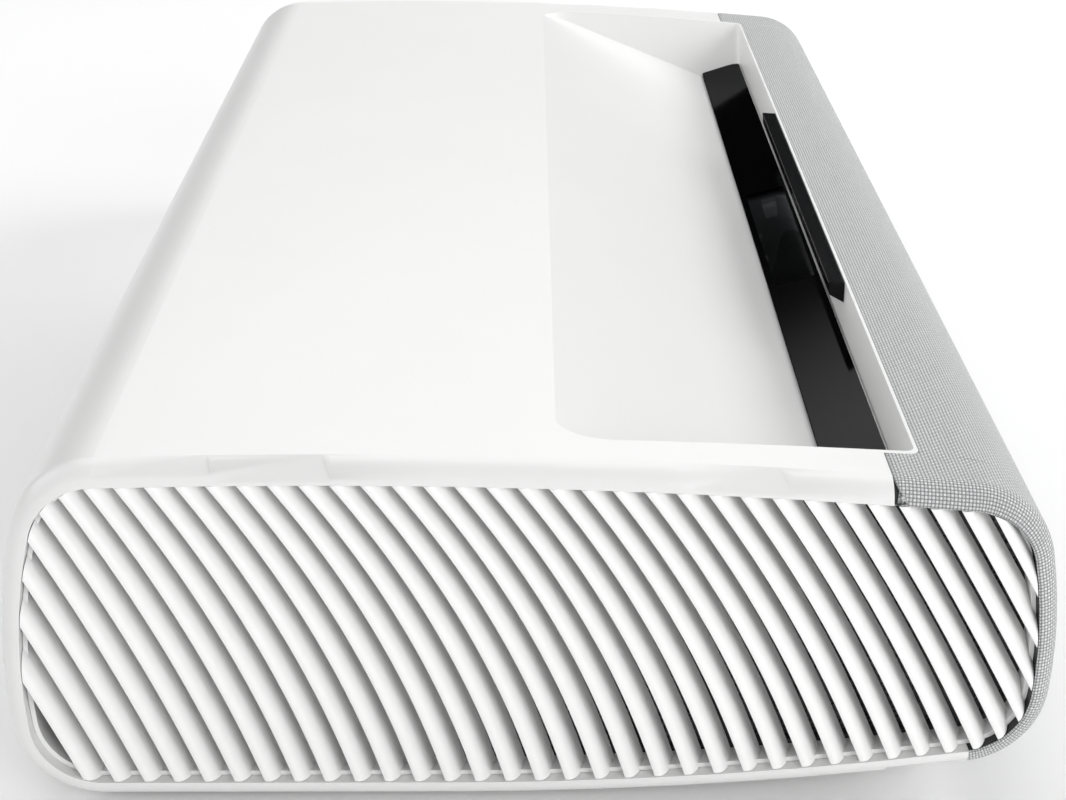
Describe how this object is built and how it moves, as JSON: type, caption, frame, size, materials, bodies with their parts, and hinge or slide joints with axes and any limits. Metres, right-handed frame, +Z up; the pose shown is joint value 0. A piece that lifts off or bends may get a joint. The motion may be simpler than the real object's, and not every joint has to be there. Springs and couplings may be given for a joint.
{
  "type": "home projector",
  "caption": "Long low ultra-short-throw projector: white sleeve with bowed louvred ends, cloth-covered speaker front and a sloping light channel with a dark pane in its top.",
  "frame": {"origin": "on the floor, under the middle of the housing", "axes": "+Z up, X along the length with the air intake end at -X, the cloth front faces -Y and the sockets face +Y"},
  "size_m": [0.68, 0.347, 0.128],
  "materials": {
    "white_housing": "fine satin",
    "white_louvre": "fine satin",
    "grey_cloth": "woven melange",
    "white_base": "fine texture",
    "black_moulding": "matt",
    "dark_guard": "matt",
    "filter_foam": "open foam",
    "dark_pane": "polished, tinted",
    "pane_print": "black print",
    "black_gloss": "polished",
    "black_metal": "satin anodised",
    "lens_glass": "coated",
    "gear_nylon": "natural nylon",
    "steel": "plain",
    "optical_mirror": "polished",
    "cast_aluminium": "bead blasted",
    "folded_aluminium": "mill finish",
    "wheel_disc": "coated ring",
    "copper": "bare copper",
    "board_green": "solder mask",
    "board_black": "solder mask",
    "chip_black": "moulded",
    "capacitor_sleeve": "shrink sleeve",
    "transformer_core": "ferrite",
    "fan_black": "moulded",
    "speaker_case": "moulded",
    "speaker_cone": "pressed pulp",
    "magnet": "ferrite",
    "tweeter_dome": "silk dome",
    "grey_tray": "fine texture",
    "socket_metal": "plated",
    "socket_black": "moulded",
    "contact_brass": "plated",
    "button_white": "satin",
    "foot_rubber": "matt"
  },
  "bodies": {
    "housing": {"housing_shell": "white_housing", "base_plate": "white_base", "speaker_cloth": "grey_cloth", "front_baffle": "black_moulding", "intake_grille": "white_louvre", "exhaust_grille": "white_louvre", "intake_guard": "dark_guard", "exhaust_guard": "dark_guard", "intake_filter": "filter_foam", "pane_glass": "dark_pane", "pane_mask": "pane_print", "sensor_bar": "black_gloss", "lens_barrel": "black_metal", "lens_elements": "lens_glass", "focus_motor": "steel", "focus_bracket": "black_metal", "ring_clip": "steel", "concave_mirror": "optical_mirror", "mirror_chamber": "black_moulding", "engine_housing": "cast_aluminium", "engine_lid": "folded_aluminium", "laser_modules": "steel", "wheel_motor": "steel", "imager_board": "board_green", "heat_pipes": "copper", "cold_plate": "copper", "cooling_fins": "folded_aluminium", "fan_frames": "fan_black", "speaker_boxes": "speaker_case", "woofer_baskets": "black_metal", "woofer_cones": "speaker_cone", "woofer_magnets": "magnet", "tweeters": "tweeter_dome", "power_board": "board_green", "power_capacitors": "capacitor_sleeve", "power_transformer": "transformer_core", "heat_sinks": "folded_aluminium", "main_board": "board_black", "board_chips": "chip_black", "io_tray": "grey_tray", "socket_shells": "socket_metal", "socket_tongues": "socket_black", "lan_socket": "socket_black", "optical_socket": "socket_black", "power_inlet": "socket_black", "socket_contacts": "contact_brass", "rear_feet": "foot_rubber", "screws": "steel"},
    "power_button": {"power_button": "button_white"},
    "optical_flap": {"optical_flap": "socket_black"},
    "focus_ring": {"focus_ring": "gear_nylon"},
    "focus_pinion": {"focus_pinion": "gear_nylon"},
    "phosphor_wheel": {"phosphor_wheel": "wheel_disc"},
    "fan_rotor_front": {"fan_rotor_front": "fan_black"},
    "fan_rotor_middle": {"fan_rotor_middle": "fan_black"},
    "fan_rotor_rear": {"fan_rotor_rear": "fan_black"},
    "left_foot_stem": {"left_foot_stem": "steel"},
    "left_foot_knob": {"left_foot_knob": "foot_rubber"},
    "right_foot_stem": {"right_foot_stem": "steel"},
    "right_foot_knob": {"right_foot_knob": "foot_rubber"}
  },
  "joints": [
    {"name": "power_button_press", "type": "slide", "parent": "housing", "child": "power_button", "axis": [0, -1, 0], "range_m": [0, 0.0009], "stiffness_N_per_m": 600, "springref_m": -0.0006},
    {"name": "optical_flap_hinge", "type": "hinge", "parent": "housing", "child": "optical_flap", "pos_m": [-0.06, 0.1506, 0.057], "axis": [-1, 0, 0], "range_deg": [0, 78], "stiffness_Nm_per_rad": 0.0002, "springref_deg": -17.19},
    {"name": "focus_ring_turn", "type": "hinge", "parent": "housing", "child": "focus_ring", "pos_m": [-0.02, -0.01, 0.05], "axis": [0, 1, 0], "range_deg": [-32, 32]},
    {"name": "focus_pinion_turn", "type": "hinge", "parent": "housing", "child": "focus_pinion", "pos_m": [0.02, -0.01, 0.05], "axis": [0, 1, 0], "range_deg": [-130, 130]},
    {"name": "phosphor_wheel_spin", "type": "hinge", "parent": "housing", "child": "phosphor_wheel", "pos_m": [-0.06, 0.096, 0.048], "axis": [1, 0, 0], "continuous": true},
    {"name": "fan_front_spin", "type": "hinge", "parent": "housing", "child": "fan_rotor_front", "pos_m": [0.298, -0.082, 0.0525], "axis": [1, 0, 0], "continuous": true},
    {"name": "fan_middle_spin", "type": "hinge", "parent": "housing", "child": "fan_rotor_middle", "pos_m": [0.298, 0.002, 0.0525], "axis": [1, 0, 0], "continuous": true},
    {"name": "fan_rear_spin", "type": "hinge", "parent": "housing", "child": "fan_rotor_rear", "pos_m": [0.298, 0.086, 0.0525], "axis": [1, 0, 0], "continuous": true},
    {"name": "left_foot_travel", "type": "slide", "parent": "housing", "child": "left_foot_stem", "axis": [0, 0, -1], "range_m": [0, 0.00801]},
    {"name": "left_foot_turn", "type": "hinge", "parent": "left_foot_stem", "child": "left_foot_knob", "pos_m": [-0.265, -0.095, 0.003], "axis": [0, 0, -1], "range_deg": [0, 2304]},
    {"name": "right_foot_travel", "type": "slide", "parent": "housing", "child": "right_foot_stem", "axis": [0, 0, -1], "range_m": [0, 0.00801]},
    {"name": "right_foot_turn", "type": "hinge", "parent": "right_foot_stem", "child": "right_foot_knob", "pos_m": [0.265, -0.095, 0.003], "axis": [0, 0, -1], "range_deg": [0, 2304]}
  ],
  "couplings": [
    {"joint": "focus_pinion_turn", "follows": "focus_ring_turn", "ratio": -4},
    {"joint": "left_foot_travel", "follows": "left_foot_turn", "m_per_rad": 0.00019894},
    {"joint": "right_foot_travel", "follows": "right_foot_turn", "m_per_rad": 0.00019894}
  ]
}
